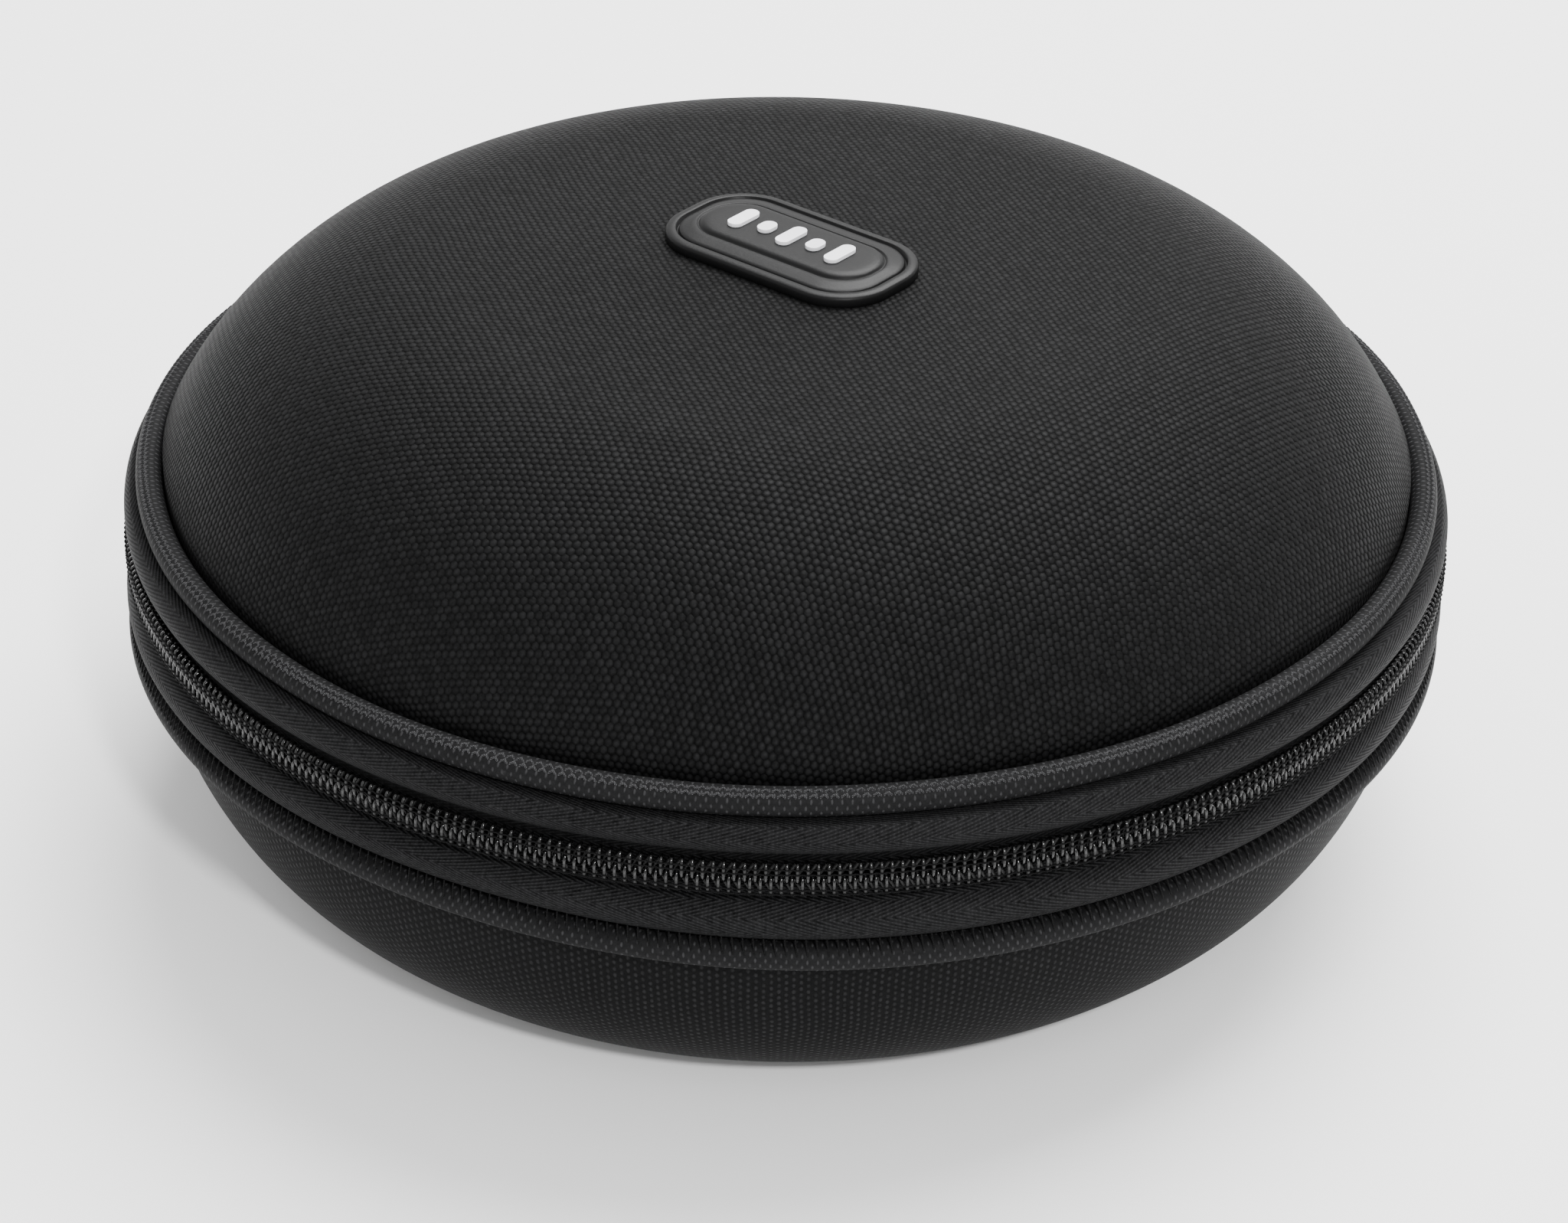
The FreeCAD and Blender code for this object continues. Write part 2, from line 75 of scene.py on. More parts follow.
class Shader:
    """A Principled material and short names for the nodes that feed it."""

    def __init__(self, name, **sockets):
        self.mat = bpy.data.materials.new(name)
        self.mat.use_nodes = True
        self.tree = self.mat.node_tree
        self.bsdf = self.tree.nodes["Principled BSDF"]
        for key, value in sockets.items():
            self.bsdf.inputs[key.replace("_", " ")].default_value = value

    def node(self, kind, **settings):
        node = self.tree.nodes.new("ShaderNode" + kind)
        for key, value in settings.items():
            setattr(node, key, value)
        return node

    def wire(self, source, target):
        if hasattr(source, "links"):
            self.tree.links.new(source, target)
        else:
            target.default_value = source

    def math(self, operation, *values, clamp=False):
        node = self.node("Math", operation=operation, use_clamp=clamp)
        for i, value in enumerate(values):
            self.wire(value, node.inputs[i])
        return node.outputs[0]

    def noise(self, vector, scale, detail=2.0, roughness=0.5):
        node = self.node("TexNoise")
        self.wire(vector, node.inputs["Vector"])
        node.inputs["Scale"].default_value = scale
        node.inputs["Detail"].default_value = detail
        node.inputs["Roughness"].default_value = roughness
        return node.outputs[0]

    def swing(self, vector, scale, detail, roughness):
        """Noise about zero."""
        return self.math("SUBTRACT", self.noise(vector, scale, detail, roughness), 0.5)

    def lint(self, vector, scale, rarity):
        """Few bright specks of fluff."""
        return self.math("POWER", self.noise(vector, scale, 3.0, 0.7), rarity)

    def chance(self, x, y, layer=0.0, dimensions="2D"):
        """A random value for each cell; x and y are whole numbers."""
        cell = self.node("CombineXYZ")
        for value, socket in zip((x, y, layer), cell.inputs):
            self.wire(value, socket)
        random = self.node("TexWhiteNoise", noise_dimensions=dimensions)
        self.wire(cell.outputs[0], random.inputs["Vector"])
        return random.outputs["Value"]

    def place(self):
        return self.node("TexCoord").outputs["Object"]

    def split(self, vector):
        node = self.node("SeparateXYZ")
        self.wire(vector, node.inputs[0])
        return node.outputs

    def cloth(self):
        """Position along the cloth in millimetres, as (across, along)."""
        across, along, _ = self.split(self.node("Attribute", attribute_name="cloth").outputs["Vector"])
        return across, along

    def ramp(self, factor, *stops):
        node = self.node("ValToRGB")
        self.wire(factor, node.inputs[0])
        ramp = node.color_ramp
        while len(ramp.elements) < len(stops):
            ramp.elements.new(0.5)
        for element, (place, colour) in zip(ramp.elements, stops):
            element.position = place
            element.color = colour if len(colour) == 4 else (*colour, 1)
        return node.outputs[0]

    def bump(self, height, distance, strength=1.0):
        node = self.node("Bump")
        node.inputs["Strength"].default_value = strength
        node.inputs["Distance"].default_value = distance * MM
        self.wire(height, node.inputs["Height"])
        return node.outputs[0]

    def finish(self, colour=None, normal=None, roughness=None):
        for value, key in ((colour, "Base Color"), (normal, "Normal"), (roughness, "Roughness")):
            if value is not None:
                self.wire(value, self.bsdf.inputs[key])
        return self.mat


def grey(level):
    return (level, level, level * 1.04, 1)


def plain_weave(s, u, v, weft):
    """Height of a plain weave and a random value for each crossing; u and v count yarns."""
    fu, fv = s.math("FRACT", u), s.math("FRACT", v)
    iu, iv = s.math("FLOOR", u), s.math("FLOOR", v)
    odd = s.math("FLOORED_MODULO", s.math("ADD", iu, iv), 2.0)
    du = s.math("POWER", s.math("ABSOLUTE", s.math("MULTIPLY_ADD", fu, 2.0, -1.0)), 2.0)
    dv = s.math("POWER", s.math("ABSOLUTE", s.math("MULTIPLY_ADD", fv, 2.0, -1.0)), 2.0)
    long_u = s.math("SUBTRACT", 1.0, s.math("MULTIPLY_ADD", dv, 0.85, s.math("MULTIPLY", du, 0.45)))
    long_v = s.math("SUBTRACT", 1.0, s.math("MULTIPLY_ADD", du, 0.85, s.math("MULTIPLY", dv, 0.45)))
    up_v = s.math("MULTIPLY", long_v, odd)
    up_u = s.math("MULTIPLY", s.math("MULTIPLY", long_u, s.math("SUBTRACT", 1.0, odd)), weft)
    height = s.math("MAXIMUM", s.math("ADD", up_u, up_v), 0.0)
    return height, s.chance(iu, iv)


def beaded(name, dark, light, turn=0.0, relief=0.2, ground=0.05, pitch=(1.32, 2.245), bead=(0.68, 0.72),
           sheen=0.006, edge=None):
    """Coarse ballistic cloth: floats of the thick yarns stand up as beads in staggered rows. Their crowns are
    painted brighter in the colour, a painted highlight, over a random tone from bead to bead.

    pitch and bead are the spacing and half size of the beads in mm, ground the level of painted highlight
    between them.
    edge names a distance across the cloth beyond which its floats are painted brighter still: a painted
    highlight where they catch more light.
    """
    s = Shader(name, Sheen_Weight=sheen, Sheen_Roughness=0.4, Specular_IOR_Level=0.035)
    across, along = s.cloth()
    place = s.place()
    drift = s.math("MULTIPLY_ADD", s.noise(place, 38.0, 2.0), 0.9, -0.45)
    c, d = math.cos(math.radians(turn)), math.sin(math.radians(turn))
    u = s.math("MULTIPLY_ADD", across, c / pitch[0], s.math("MULTIPLY_ADD", along, d / pitch[0], drift))
    v = s.math("MULTIPLY_ADD", across, -d / pitch[1], s.math("MULTIPLY_ADD", along, c / pitch[1], drift))
    far, cells = [], []
    for shift in (0.0, 0.5):
        x, y = s.math("ADD", u, shift), s.math("ADD", v, shift)
        fx = s.math("MULTIPLY", s.math("SUBTRACT", s.math("FRACT", x), 0.5), pitch[0] / bead[0])
        fy = s.math("MULTIPLY", s.math("SUBTRACT", s.math("FRACT", y), 0.5), pitch[1] / bead[1])
        far.append(s.math("ADD", s.math("MULTIPLY", fx, fx), s.math("MULTIPLY", fy, fy)))
        cells.append(s.chance(s.math("FLOOR", x), s.math("FLOOR", y), shift, "3D"))
    second = s.math("GREATER_THAN", far[0], far[1])
    random = s.math("MULTIPLY_ADD", second, s.math("SUBTRACT", cells[1], cells[0]), cells[0])
    crown = s.math("SUBTRACT", 1.0, s.math("MINIMUM", far[0], far[1]), clamp=True)
    fibre = s.swing(place, 1700.0, 3.0, 0.7)
    patch = s.swing(place, 13.0, 3.0, 0.6)
    # The colour is a painted highlight on the bead crowns, with random tone, fibres, patches and lint.
    painted_highlight_and_tone = s.math("MULTIPLY", crown, s.math("MULTIPLY_ADD", random, 0.4, 0.55))
    painted_highlight_and_tone = s.math("MULTIPLY_ADD", fibre, s.math("MULTIPLY_ADD", crown, 1.3, 0.4), painted_highlight_and_tone)
    # Beyond edge the bead crowns get more painted highlight.
    if edge is not None:
        painted_edge_highlight = s.math("SUBTRACT", along, edge, clamp=True)
        painted_highlight_and_tone = s.math("MULTIPLY_ADD", s.math("MULTIPLY", crown, painted_edge_highlight), 0.75, painted_highlight_and_tone)
    painted_highlight_and_tone = s.math("ADD", painted_highlight_and_tone, s.math("MULTIPLY_ADD", patch, 0.25, ground))
    painted_highlight_and_tone = s.math("MULTIPLY_ADD", s.lint(place, 800.0, 9.0), 3.0, painted_highlight_and_tone, clamp=True)
    colour = s.ramp(painted_highlight_and_tone, (0.0, grey(dark)), (0.45, grey((dark + light) * 0.4)), (1.0, grey(light)))
    height = s.math("MULTIPLY_ADD", fibre, 0.3, crown)
    return s.finish(colour, s.bump(height, relief, 1.0), s.math("MULTIPLY_ADD", painted_highlight_and_tone, -0.14, 0.62))


def herringbone(name, dark, light):
    """Zip tape: fine diagonal ribs that turn back from band to band, with a few raised floats. Ribs and
    floats are painted brighter in the colour: a painted highlight on the raised yarn.
    """
    band, line, beat = 2.6, 0.56, 0.6       # widths in mm
    s = Shader(name, Sheen_Weight=0.005, Sheen_Roughness=0.4, Specular_IOR_Level=0.035)
    across, along = s.cloth()
    place = s.place()
    drift = s.math("MULTIPLY_ADD", s.noise(place, 60.0, 2.0), 0.4, -0.2)
    fold = s.math("PINGPONG", s.math("ADD", along, drift), band)
    phase = s.math("MULTIPLY", s.math("MULTIPLY_ADD", across, 0.33, fold), TAU / line)
    rib = s.math("MULTIPLY_ADD", s.math("SINE", phase), 0.5, 0.5)
    phase = s.math("MULTIPLY", s.math("ADD", across, drift), TAU / beat)
    spot = s.math("MULTIPLY_ADD", s.math("SINE", phase), 0.5, 0.5)
    spot = s.math("POWER", s.math("MULTIPLY", rib, spot), 3.0)
    fibre = s.swing(place, 1500.0, 3.0, 0.7)
    patch = s.swing(place, 20.0, 3.0, 0.6)
    # Painted highlight on the ribs and floats, with fibres, patches and lint, sets the colour.
    painted_highlight_and_tone = s.math("MULTIPLY_ADD", rib, 0.3, s.math("MULTIPLY_ADD", spot, 0.5, 0.16))
    painted_highlight_and_tone = s.math("MULTIPLY_ADD", fibre, 1.1, s.math("MULTIPLY_ADD", patch, 0.3, painted_highlight_and_tone))
    painted_highlight_and_tone = s.math("MULTIPLY_ADD", s.lint(place, 850.0, 8.0), 3.0, painted_highlight_and_tone, clamp=True)
    colour = s.ramp(painted_highlight_and_tone, (0.0, grey(dark)), (1.0, grey(light)))
    height = s.math("MULTIPLY_ADD", fibre, 0.4, rib)
    return s.finish(colour, s.bump(height, 0.09), s.math("MULTIPLY_ADD", painted_highlight_and_tone, -0.1, 0.62))


def woven(name, yarn, dark, light, turn=0.0, weft=0.5, relief=0.16, rough=0.6):
    """Coarse synthetic cloth: yarn is the width of one yarn in mm, turn the angle of the weave. The tops of
    the yarns are painted brighter in the colour: a painted highlight, with a random tone at each crossing.
    """
    s = Shader(name, Sheen_Weight=0.012, Sheen_Roughness=0.45, Specular_IOR_Level=0.055)
    across, along = s.cloth()
    place = s.place()
    drift = s.math("MULTIPLY_ADD", s.noise(place, 45.0, 2.0), 1.0, -0.5)
    c, d = math.cos(math.radians(turn)) / yarn, math.sin(math.radians(turn)) / yarn
    u = s.math("ADD", s.math("MULTIPLY_ADD", across, c, s.math("MULTIPLY", along, d)), drift)
    v = s.math("ADD", s.math("MULTIPLY_ADD", across, -d, s.math("MULTIPLY", along, c)), drift)
    height, random = plain_weave(s, u, v, weft)
    patch = s.noise(place, 14.0, 3.0, 0.6)
    # Painted highlight on the yarn tops, with random tone, patches and lint, sets the colour.
    painted_highlight_and_tone = s.math("POWER", height, 2.2)
    painted_highlight_and_tone = s.math("MULTIPLY", painted_highlight_and_tone, s.math("MULTIPLY_ADD", random, 0.75, 0.55))
    painted_highlight_and_tone = s.math("MULTIPLY", painted_highlight_and_tone, s.math("MULTIPLY_ADD", patch, 0.9, 0.45))
    painted_highlight_and_tone = s.math("MULTIPLY_ADD", s.lint(place, 900.0, 9.0), 3.0, painted_highlight_and_tone, clamp=True)
    colour = s.ramp(painted_highlight_and_tone, (0.0, grey(dark)), (0.45, grey((dark + light) * 0.42)), (1.0, grey(light)))
    fibre = s.math("MULTIPLY", s.noise(place, 2600.0, 2.0), 0.16)
    normal = s.bump(s.math("ADD", height, fibre), relief)
    return s.finish(colour, normal, s.math("MULTIPLY_ADD", painted_highlight_and_tone, -0.14, rough))


def brushed(name, level, scale=1.0):
    """Napped lining."""
    s = Shader(name, Sheen_Weight=0.03, Sheen_Roughness=0.5, Roughness=0.9, Specular_IOR_Level=0.05)
    place = s.place()
    nap = s.noise(place, 420.0 * scale, 4.0, 0.7)
    cloud = s.noise(place, 22.0, 3.0, 0.6)
    mix = s.math("MULTIPLY_ADD", nap, 0.7, s.math("MULTIPLY", cloud, 0.45))
    colour = s.ramp(mix, (0.25, grey(level * 0.55)), (0.85, grey(level * 1.5)))
    return s.finish(colour, s.bump(nap, 0.35, 0.8))


def rubbery(name, level, rough=0.5, grain=0.05, spec=0.4):
    """Moulded rubber with a fine satin grain."""
    s = Shader(name, Specular_IOR_Level=spec)
    place = s.place()
    fine = s.noise(place, 1500.0, 3.0, 0.6)
    cloud = s.noise(place, 60.0, 3.0, 0.6)
    colour = s.ramp(cloud, (0.3, grey(level * 0.85)), (0.75, grey(level * 1.2)))
    roughness = s.math("MULTIPLY_ADD", cloud, 0.16, rough - 0.08)
    return s.finish(colour, s.bump(fine, grain, 0.5), roughness)


def nylon(name, level, rough=0.13, coined=False):
    """Glossy monofilament. coined: pressed smooth at the coil's heads and heels, duller on its legs."""
    s = Shader(name, Specular_IOR_Level=0.45 if coined else 0.3)
    place = s.place()
    cloud = s.noise(place, 220.0, 2.0)
    colour = s.ramp(cloud, (0.3, grey(level * 0.8)), (0.7, grey(level * 1.25)))
    roughness = s.math("MULTIPLY_ADD", cloud, 0.14, rough - 0.07)
    if coined:
        height = s.math("DIVIDE", s.split(place)[2], MM)
        away = s.math("ABSOLUTE", s.math("SUBTRACT", height, ZIP))
        pressed = s.math("GREATER_THAN", s.math("ABSOLUTE", s.math("SUBTRACT", away, 1.45)), 0.85)
        roughness = s.math("MULTIPLY_ADD", pressed, -0.47, s.math("ADD", roughness, 0.48))
    return s.finish(colour, s.bump(s.noise(place, 1200.0, 2.0), 0.02, 0.4), roughness)


def enamel(name, level):
    """Baked black enamel on die-cast metal, worn a little brighter in places."""
    s = Shader(name, Metallic=0.35, Specular_IOR_Level=0.5, Coat_Weight=0.4, Coat_Roughness=0.2)
    place = s.place()
    wear = s.noise(place, 160.0, 5.0, 0.65)
    colour = s.ramp(wear, (0.45, grey(level)), (0.72, grey(level * 2.2)))
    roughness = s.math("MULTIPLY_ADD", wear, 0.25, 0.25)
    return s.finish(colour, s.bump(s.noise(place, 700.0, 3.0), 0.03, 0.4), roughness)


COVER = beaded("cover_weave", 0.0004, 0.0082, turn=27.0)
BOWL = beaded("bowl_weave", 0.0006, 0.0125, turn=90.0, relief=0.15, ground=0.2, bead=(0.5, 0.36), sheen=0.004)
# Beyond 12.4 mm across its cloth, the piping's upper edge is painted brighter: a painted highlight.
PIPING = beaded("piping_weave", 0.0012, 0.025, relief=0.13, ground=0.26, pitch=(1.5, 1.9), bead=(0.24, 0.46),
                edge=12.4)
TAPE = herringbone("tape_weave", 0.0006, 0.019)
HINGE_CLOTH = beaded("hinge_weave", 0.0005, 0.01)
BINDING = woven("binding_weave", 0.42, 0.002, 0.012, weft=0.9, relief=0.1)
LINING = brushed("lining_nap", 0.006)
FOAM = brushed("foam_cells", 0.008, 2.5)
CORD = woven("cord_braid", 0.9, 0.08, 0.2, turn=45.0)
RUBBER = rubbery("badge_rubber", 0.003, 0.42, spec=0.13)
MARK = rubbery("badge_mark_rubber", 0.7, 0.5, 0.03, 0.3)
GRIP = rubbery("pull_rubber", 0.004, 0.5, 0.08, 0.15)
COIL = nylon("coil_nylon", 0.002, coined=True)
STOP = nylon("stop_nylon", 0.003, 0.45)
THREAD = woven("thread_twist", 0.25, 0.003, 0.014, turn=30.0)
# The floats are the same black cloth; their pale grey is a painted highlight.
FLOAT = woven("float_yarn_painted_highlight", 0.22, 0.012, 0.13, turn=20.0, rough=0.45)
ENAMEL = enamel("slider_enamel", 0.004)


# ---------------------------------------------------------------- mesh helpers

def finish_piece(obj, body, material, replaced=()):
    obj.data.materials.append(material)
    if replaced:
        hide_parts(*replaced)
    if body:
        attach(obj, body)
    return obj


def shade(obj):
    obj.data.polygons.foreach_set("use_smooth", [True] * len(obj.data.polygons))
    return obj


@contextmanager
def editing(obj):
    """The object's mesh as a bmesh, written back at the end."""
    work = bmesh.new()
    work.from_mesh(obj.data)
    yield work
    work.to_mesh(obj.data)
    work.free()


def fill_holes(work, sharp=False):
    """Close every open boundary with one flat face and turn all faces outwards."""
    rims = [edge for edge in work.edges if edge.is_boundary]
    if sharp:
        for edge in rims:
            edge.smooth = False
    bmesh.ops.holes_fill(work, edges=rims, sides=0)
    bmesh.ops.recalc_face_normals(work, faces=work.faces)


def grid(points, cloth, close_rows=False, close_columns=False):
    """Quads over a grid of points, and the cloth coordinates (across, along) of their corners.

    Where the grid closes, cloth goes one step further than the points.
    """
    rows, columns = points.shape[:2]
    i, j = np.meshgrid(np.arange(rows if close_rows else rows - 1),
                       np.arange(columns if close_columns else columns - 1), indexing="ij")
    i, j = i.ravel(), j.ravel()
    i2, j2 = i + 1, j + 1
    quads = np.stack([i * columns + j, i * columns + j2 % columns,
                      i2 % rows * columns + j2 % columns, i2 % rows * columns + j], 1)
    return quads, np.stack([cloth[i, j], cloth[i, j2], cloth[i2, j2], cloth[i2, j]], 1)


def cloth_mesh(name, points, quads, corners):
    """A smooth mesh that carries the cloth coordinates of its corners."""
    mesh = bpy.data.meshes.new(name)
    mesh.from_pydata((points.reshape(-1, 3) * MM).tolist(), [], quads.tolist())
    corners = corners.reshape(-1, 2)
    corners = np.concatenate([corners, np.zeros((len(corners), 1))], 1).astype(np.float32)
    cloth = mesh.attributes.new("cloth", "FLOAT_VECTOR", "CORNER")
    cloth.data.foreach_set("vector", corners.ravel())
    obj = bpy.data.objects.new(name, mesh)
    bpy.context.scene.collection.objects.link(obj)
    return shade(obj)


def grid_mesh(name, points, cloth, close_rows=False, close_columns=False):
    return cloth_mesh(name, points, *grid(points, cloth, close_rows, close_columns))


def lathe(name, profile, span=360.0, middle=-90.0, steps=480, closed=True, bend=None, flat=False):
    """Turn a profile of (r, z) about the vertical axis.

    flat drapes the cloth from the middle outwards, otherwise it runs round.
    """
    profile = np.array(profile, float)
    full = span >= 360
    count = steps if full else steps + 1
    start = math.radians(middle - span / 2)
    turn = start + np.arange(steps + 1) / steps * math.radians(span)
    r = np.repeat(profile[:, :1], steps + 1, 1)
    z = np.repeat(profile[:, 1:], steps + 1, 1)
    t = np.repeat(turn[None, :], len(profile), 0)
    if bend is not None:
        r, z = bend(r, t, z)
    points = np.stack([r * np.cos(t), r * np.sin(t), z], -1)
    run = np.concatenate([[0], np.cumsum(np.hypot(*np.diff(profile, axis=0).T))])
    if flat:
        out = np.minimum(run, run[-1] - run)[:, None]
        cloth = np.stack([out * np.cos(t), out * np.sin(t)], -1)
    else:
        widest = profile[:, 0].max()
        cloth = np.stack([np.broadcast_to((turn - start) * widest, r.shape),
                          np.broadcast_to(run[:, None], r.shape)], -1)
    if closed:
        cloth = np.concatenate([cloth, cloth[:1]], 0)
    return grid_mesh(name, points[:, :count], cloth, closed, full)


def disc_lathe(name, profile, **options):
    """A lathe whose profile starts and ends on the axis: the ends are welded into one point each."""
    obj = lathe(name, profile, closed=False, **options)
    with editing(obj) as work:
        near = [v for v in work.verts if math.hypot(v.co.x, v.co.y) < 1e-5]
        bmesh.ops.remove_doubles(work, verts=near, dist=2e-5)
        bmesh.ops.recalc_face_normals(work, faces=work.faces)
    return shade(obj)


def face_outwards(obj):
    """Close the cut ends of a tape and turn the faces of any piece outwards."""
    with editing(obj) as work:
        if obj.name.endswith("_zip_tape_cloth"):
            fill_holes(work, sharp=True)
        if work.calc_volume(signed=True) < 0:
            bmesh.ops.reverse_faces(work, faces=work.faces)


def arc(centre, radius, start, end, count):
    """Points along an arc, angles in degrees from the outward direction."""
    a = np.radians(np.linspace(start, end, count))
    return [(centre[0] + radius * math.cos(x), centre[1] + radius * math.sin(x)) for x in a]


def up(side, points):
    """Heights measured away from the zip plane, turned into heights above the floor."""
    return [(r, ZIP + UP[side] * z) for r, z in points]


def ripple(t, waves):
    return sum(size * np.sin(count * t + phase) for count, size, phase in waves)


# The rims are soft: the seams wander a little up and down and in and out.
WAVES = {"lid": ((2, 0.22, 0.6), (3, 0.16, 2.1), (7, 0.08, 1.0), (11, 0.05, 3.0)),
         "base": ((2, 0.35, 3.6), (3, 0.30, 0.4), (5, 0.22, 2.2), (9, 0.10, 1.1))}


def rim_bend(side):
    """Shift of everything near one rim: none at the coil or far up the wall, most at the piping."""
    def bend(r, t, z):
        away = (z - ZIP) * UP[side]
        weight = np.clip((away - 5.0) / 4.0, 0, 1) * np.clip((36 - away) / 18.0, 0, 1)
        weight = weight * weight * (3 - 2 * weight)
        from_back = abs(math.pi / 2 - np.arctan2(np.sin(t), np.cos(t)))
        held = np.clip(1 - from_back / math.radians(HINGE + 14), 0, 1)
        weight = weight * (1 - 0.8 * np.clip(held * 2, 0, 1))
        lift = ripple(t, WAVES[side])
        swell = ripple(t + 0.7, WAVES[side]) * 0.35
        return r + weight * swell, z + weight * lift
    return bend


# ---------------------------------------------------------------- walls

EDGE = {"lid": 9.6, "base": 12.35}      # distance of each wall's rim from the zip plane
COVER_SKINS = (0.0, 0.85)               # depths of the cover's two faces below the outer surface
LINING_SKINS = (4.95, 5.55)
LID_SHOULDER, LID_LEAN, LID_RISE, LID_DEPTH = 56.0, 62.5, 14.6, 31.5
SHOULDER = (RIM["lid"] - LID_SHOULDER * math.sin(math.radians(LID_LEAN)),
            ZIP + LID_RISE - LID_SHOULDER * math.cos(math.radians(LID_LEAN)))
APEX = ZIP + LID_RISE + LID_DEPTH
SINK = APEX - SHOULDER[1]
CROWN = (SHOULDER[0] ** 2 + SINK ** 2 - LID_SHOULDER ** 2) / (2 * (SINK - LID_SHOULDER))
MEET = math.degrees(math.atan2(SHOULDER[1] - (APEX - CROWN), SHOULDER[0]))


def lid_line(deep, rows=26):
    """Profile of the lid from its rim to the apex, at a depth below the outer surface."""
    edge = RIM["lid"] - deep
    knee = SHOULDER[1] + math.sqrt((LID_SHOULDER - deep) ** 2 - (edge - SHOULDER[0]) ** 2)
    low = math.degrees(math.atan2(knee - SHOULDER[1], edge - SHOULDER[0]))
    line = [(edge, z) for z in np.linspace(ZIP + EDGE["lid"], knee, 5)[:-1]]
    line += arc(SHOULDER, LID_SHOULDER - deep, low, MEET, rows)[:-1]
    line += arc((0, APEX - CROWN), CROWN - deep, MEET, 90, rows * 2)
    return line


BASE_SIDE, BASE_CORNER, BASE_RISE = 42.0, 18.0, 15.7
SIDE = (RIM["base"] - BASE_SIDE, ZIP - BASE_RISE)
TURN = math.degrees(math.asin((SIDE[1] - BASE_CORNER) / (BASE_SIDE - BASE_CORNER)))
CORNER = (SIDE[0] + (BASE_SIDE - BASE_CORNER) * math.cos(math.radians(TURN)), BASE_CORNER)


def base_line(deep, rows=26):
    """Profile of the bowl from its rim down to the middle of the floor."""
    line = [(RIM["base"] - deep, z) for z in np.linspace(ZIP - EDGE["base"], SIDE[1], 5)[:-1]]
    line += arc(SIDE, BASE_SIDE - deep, 0, -TURN, rows)[:-1]
    line += arc(CORNER, BASE_CORNER - deep, -TURN, -90, rows)[:-1]
    line += [(r, deep) for r in np.linspace(CORNER[0], 0, 34)]
    return line


def wall(side, part, look, skins, material, flat):
    """A layer of the dome or bowl between two depths below its outer surface."""
    line = {"lid": lid_line, "base": base_line}[side]
    outer, inner = skins
    profile = line(outer)[::-1] + line(inner)
    obj = disc_lathe("%s_%s_%s" % (side, part, look), profile, bend=rim_bend(side), flat=flat)
    return finish_piece(obj, side, material, ("%s_%s" % (side, part),))


lid_cover = wall("lid", "cover", "cloth", COVER_SKINS, COVER, True)
base_cover = wall("base", "cover", "cloth", COVER_SKINS, BOWL, False)
for side in ("lid", "base"):
    wall(side, "lining", "nap", LINING_SKINS, LINING, True)


# ---------------------------------------------------------------- rims: tape, piping, binding

# Each tape swells between the coil and its seam: centre and radius of the bulge, the angle where it ends,
# the radius where the tape turns in, the seam's distance from the zip plane and the tape's inner edge.
TAPES = {"lid": dict(centre=(106.5, 6.7), bulge=3.3, end=50, knee=105.8, seam=8.35, inner=98.1),
         "base": dict(centre=(106.4, 7.7), bulge=3.9, end=45, knee=106.3, seam=11.15, inner=101.1)}
TAPE_LIP = (106.9, 107.6)               # inner and outer radius of the tape beside the coil
TAPE_THICK = TAPE_LIP[1] - TAPE_LIP[0]
PIPES = {"lid": (105.4, 11.35), "base": (108.2, 14.1)}      # radius, distance from the zip plane
PIPE_RADIUS = 2.2
PIPE_THICK = 0.4
CORD_RADIUS = 1.65


def tape_profile(side):
    t = TAPES[side]
    cr, cz = t["centre"]
    big, small = t["bulge"], t["bulge"] - TAPE_THICK
    inside, outside = TAPE_LIP
    start = math.degrees(math.asin(-math.sqrt(big ** 2 - (outside - cr) ** 2) / big))
    back = math.degrees(math.asin(-math.sqrt(small ** 2 - (inside - cr) ** 2) / small))
    top = t["seam"] + TAPE_THICK
    outer = [(inside, 0.6), ((inside + outside) / 2, 0.5), (outside, 0.6)]
    outer += arc((cr, cz), big, start, t["end"], 18)
    outer += [(t["knee"] + 1, top + 0.12), (t["knee"], top), (t["inner"], top),
              (t["inner"], t["seam"]), (t["knee"], t["seam"])]
    return up(side, outer + arc((cr, cz), small, t["end"], back, 18))


def piping_profile(side):
    inner, low = TAPES[side]["inner"], PIPES[side][1] - PIPE_RADIUS
    meet = math.degrees(math.asin(-(PIPE_RADIUS - PIPE_THICK) / PIPE_RADIUS))
    ring = arc(PIPES[side], PIPE_RADIUS, -90, 180 - meet, 40)
    return up(side, [(inner, low + PIPE_THICK), (inner, low)] + ring)


def cord_profile(side):
    return up(side, arc(PIPES[side], CORD_RADIUS, 0, 351, 39))


def ring_piece(side, name, profile, material, slot, node, **options):
    """A strip or cord that follows one rim's wandering seam."""
    obj = lathe("%s_%s" % (side, name), profile, steps=720, bend=rim_bend(side), **options)
    finish_piece(obj, side, material, ("%s_%s" % (side, node),))


for side in ("lid", "base"):
    ring_piece(side, "zip_tape_cloth", tape_profile(side), TAPE, "tape_fabric", "zip_tape",
               span=360 - 2 * (HINGE + 0.5))
    ring_piece(side, "piping_cloth", piping_profile(side), PIPING, "piping_fabric", "piping_cover")
    ring_piece(side, "piping_filler", cord_profile(side), CORD, "piping_cord", "piping_cord")


# ---------------------------------------------------------------- zip coil

PITCH = 1.52            # of the teeth
COIL_HALF = 152.5       # half of the angle that the zip runs round
COIL_RADIUS = 110.0
